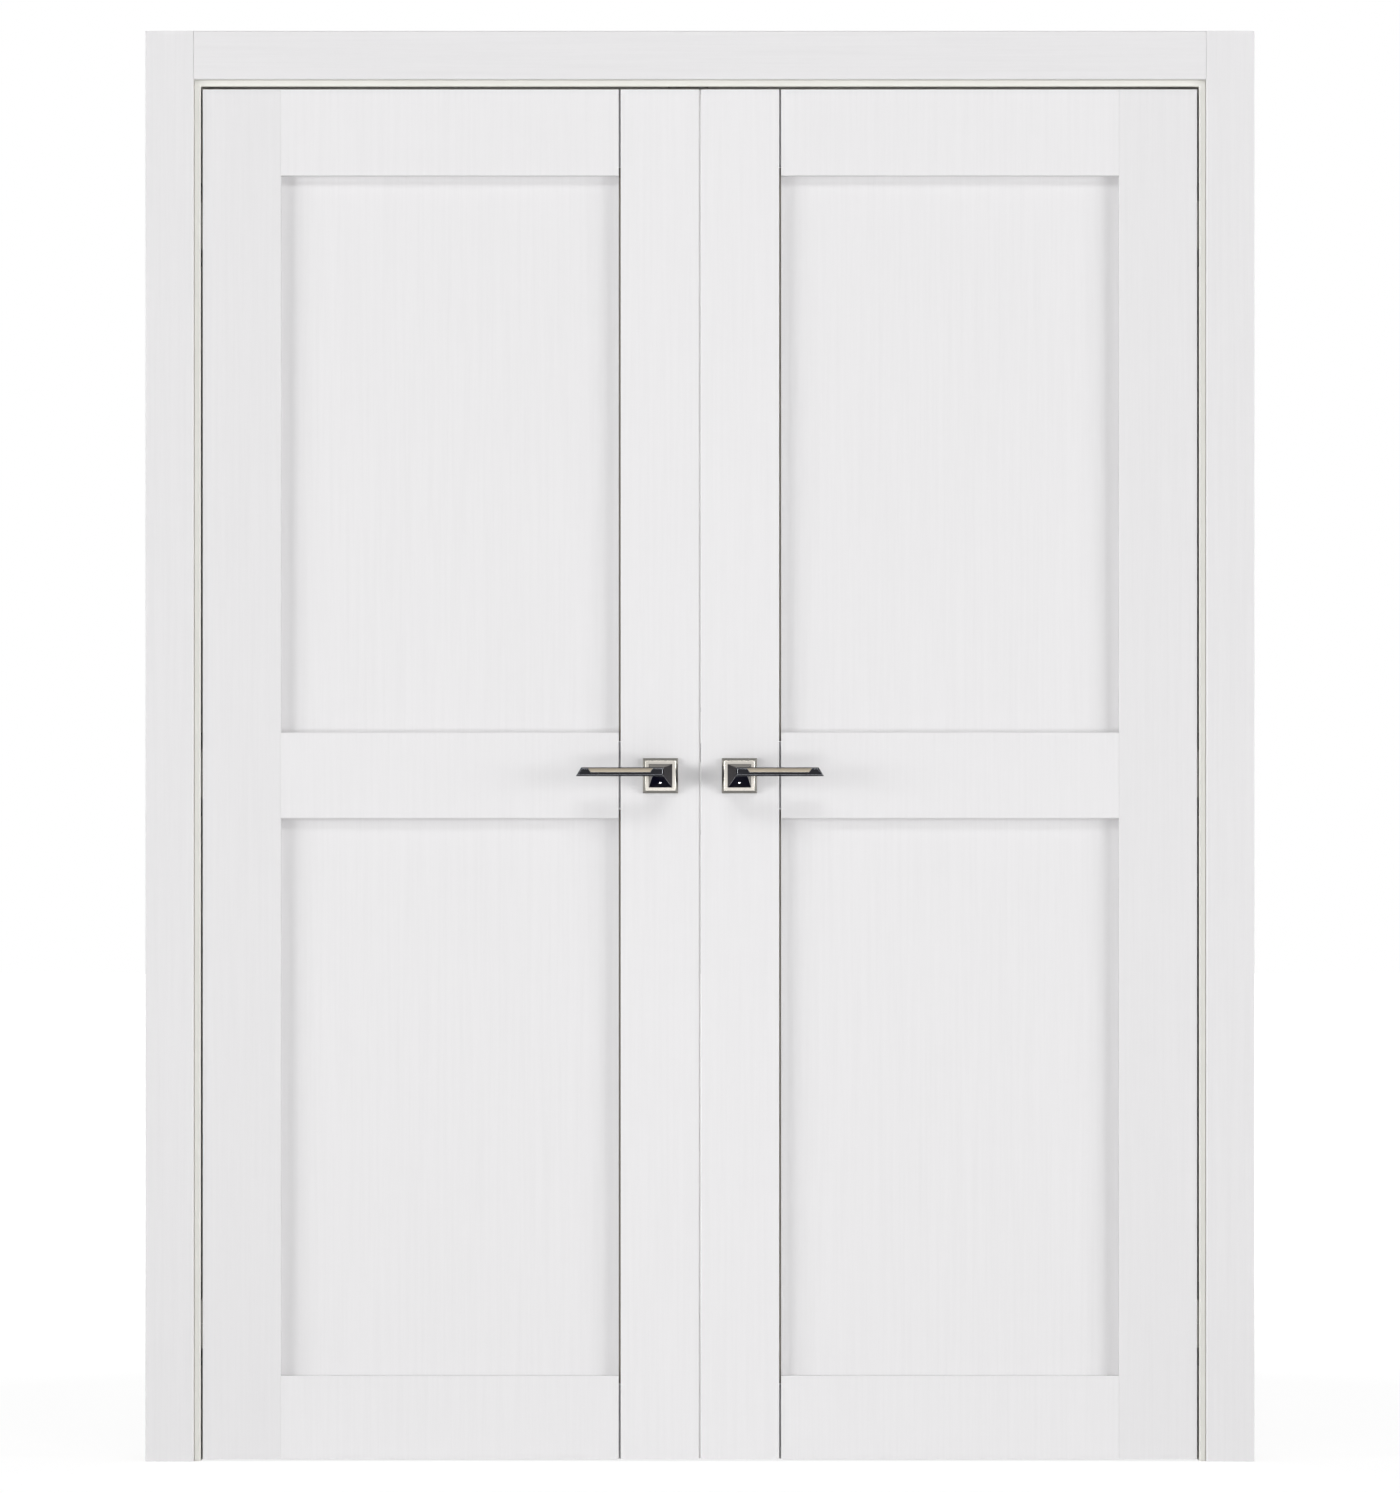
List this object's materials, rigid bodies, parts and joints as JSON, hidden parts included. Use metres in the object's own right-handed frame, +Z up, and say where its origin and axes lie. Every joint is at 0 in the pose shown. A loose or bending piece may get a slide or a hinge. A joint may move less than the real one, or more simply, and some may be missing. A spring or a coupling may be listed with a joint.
{
  "type": "prehung double door",
  "caption": "White double door with flat recessed panels, concealed hinges and lever handles, hung in a jamb frame with casings on both sides, so it fits a rough opening.",
  "frame": {"origin": "floor level, midway between the two leaves, in the plane of their front faces", "axes": "+X to the right seen from the front, +Y into the wall, +Z up"},
  "size_m": [1.645, 0.175, 2.1215],
  "materials": {
    "seal": "soft matt",
    "satin_nickel": "satin",
    "polished_chrome": "polished",
    "frame_white": "satin white laminate over board",
    "leaf_white": "satin white laminate with a fine vertical grain",
    "hinge_metal": "matt nickel",
    "plate_nickel": "satin",
    "lock_steel": "zinc plated"
  },
  "bodies": {
    "frame": {"left_jamb": "frame_white", "right_jamb": "frame_white", "head_jamb": "frame_white", "front_casing_left": "frame_white", "front_casing_right": "frame_white", "front_casing_head": "frame_white", "back_casing_left": "frame_white", "back_casing_right": "frame_white", "back_casing_head": "frame_white", "left_seal": "seal", "right_seal": "seal", "head_seal": "seal", "left_jamb_hinge_cups": "hinge_metal", "right_jamb_hinge_cups": "hinge_metal", "left_jamb_hinge_screws": "hinge_metal", "right_jamb_hinge_screws": "hinge_metal", "head_strike_plate": "plate_nickel"},
    "left_leaf": {"left_hinge_stile": "leaf_white", "left_lock_stile": "leaf_white", "left_top_rail": "leaf_white", "left_mid_rail": "leaf_white", "left_bottom_rail": "leaf_white", "left_upper_panel": "leaf_white", "left_lower_panel": "leaf_white", "left_leaf_hinge_cups": "hinge_metal", "left_leaf_hinge_screws": "hinge_metal", "left_front_rosette": "satin_nickel", "left_back_rosette": "satin_nickel", "left_front_lever": "polished_chrome", "left_back_lever": "polished_chrome", "left_lever_inserts": "satin_nickel", "left_spindle": "lock_steel", "strike_plate": "plate_nickel", "top_flush_bolt_plate": "plate_nickel", "bottom_flush_bolt_plate": "plate_nickel"},
    "right_leaf": {"right_hinge_stile": "leaf_white", "right_lock_stile": "leaf_white", "right_top_rail": "leaf_white", "right_mid_rail": "leaf_white", "right_bottom_rail": "leaf_white", "right_upper_panel": "leaf_white", "right_lower_panel": "leaf_white", "right_leaf_hinge_cups": "hinge_metal", "right_leaf_hinge_screws": "hinge_metal", "right_front_rosette": "satin_nickel", "right_back_rosette": "satin_nickel", "latch_case": "lock_steel", "latch_faceplate": "plate_nickel"},
    "lever": {"right_front_lever": "polished_chrome", "right_back_lever": "polished_chrome", "right_lever_inserts": "satin_nickel", "right_spindle": "lock_steel", "latch_follower": "lock_steel"},
    "latch": {"latch_bolt": "lock_steel"},
    "upper_bolt": {"top_flush_bolt": "lock_steel"},
    "lower_bolt": {"bottom_flush_bolt": "lock_steel"},
    "left_jamb_arms": {"left_jamb_hinge_arms": "hinge_metal"},
    "left_leaf_arms": {"left_leaf_hinge_arms": "hinge_metal"},
    "right_jamb_arms": {"right_jamb_hinge_arms": "hinge_metal"},
    "right_leaf_arms": {"right_leaf_hinge_arms": "hinge_metal"}
  },
  "joints": [
    {"name": "left_leaf_swing", "type": "hinge", "parent": "frame", "child": "left_leaf", "pos_m": [-0.739, -0.001, 1.02], "axis": [0, 0, -1], "range_deg": [0, 100]},
    {"name": "right_leaf_swing", "type": "hinge", "parent": "frame", "child": "right_leaf", "pos_m": [0.739, -0.001, 1.02], "axis": [0, 0, 1], "range_deg": [0, 100]},
    {"name": "left_jamb_arm_turn", "type": "hinge", "parent": "frame", "child": "left_jamb_arms", "pos_m": [-0.7495, 0.024, 1.02], "axis": [0, 0, -1], "range_deg": [0, 50]},
    {"name": "left_leaf_arm_turn", "type": "hinge", "parent": "left_leaf", "child": "left_leaf_arms", "pos_m": [-0.7285, 0.024, 1.02], "axis": [0, 0, -1], "range_deg": [-50, 0]},
    {"name": "right_jamb_arm_turn", "type": "hinge", "parent": "frame", "child": "right_jamb_arms", "pos_m": [0.7495, 0.024, 1.02], "axis": [0, 0, 1], "range_deg": [0, 50]},
    {"name": "right_leaf_arm_turn", "type": "hinge", "parent": "right_leaf", "child": "right_leaf_arms", "pos_m": [0.7285, 0.024, 1.02], "axis": [0, 0, 1], "range_deg": [-50, 0]},
    {"name": "lever_turn", "type": "hinge", "parent": "right_leaf", "child": "lever", "pos_m": [0.0585, 0.02, 1.017], "axis": [0, 1, 0], "range_deg": [0, 40]},
    {"name": "latch_slide", "type": "slide", "parent": "right_leaf", "child": "latch", "axis": [1, 0, 0], "range_m": [0, 0.0105]},
    {"name": "upper_bolt_slide", "type": "slide", "parent": "left_leaf", "child": "upper_bolt", "axis": [0, 0, 1], "range_m": [0, 0.014]},
    {"name": "lower_bolt_slide", "type": "slide", "parent": "left_leaf", "child": "lower_bolt", "axis": [0, 0, -1], "range_m": [0, 0.014]}
  ],
  "couplings": [
    {"joint": "left_jamb_arm_turn", "follows": "left_leaf_swing", "ratio": 0.5},
    {"joint": "left_leaf_arm_turn", "follows": "left_leaf_swing", "ratio": -0.5},
    {"joint": "right_jamb_arm_turn", "follows": "right_leaf_swing", "ratio": 0.5},
    {"joint": "right_leaf_arm_turn", "follows": "right_leaf_swing", "ratio": -0.5},
    {"joint": "latch_slide", "follows": "lever_turn", "m_per_rad": 0.01504}
  ]
}
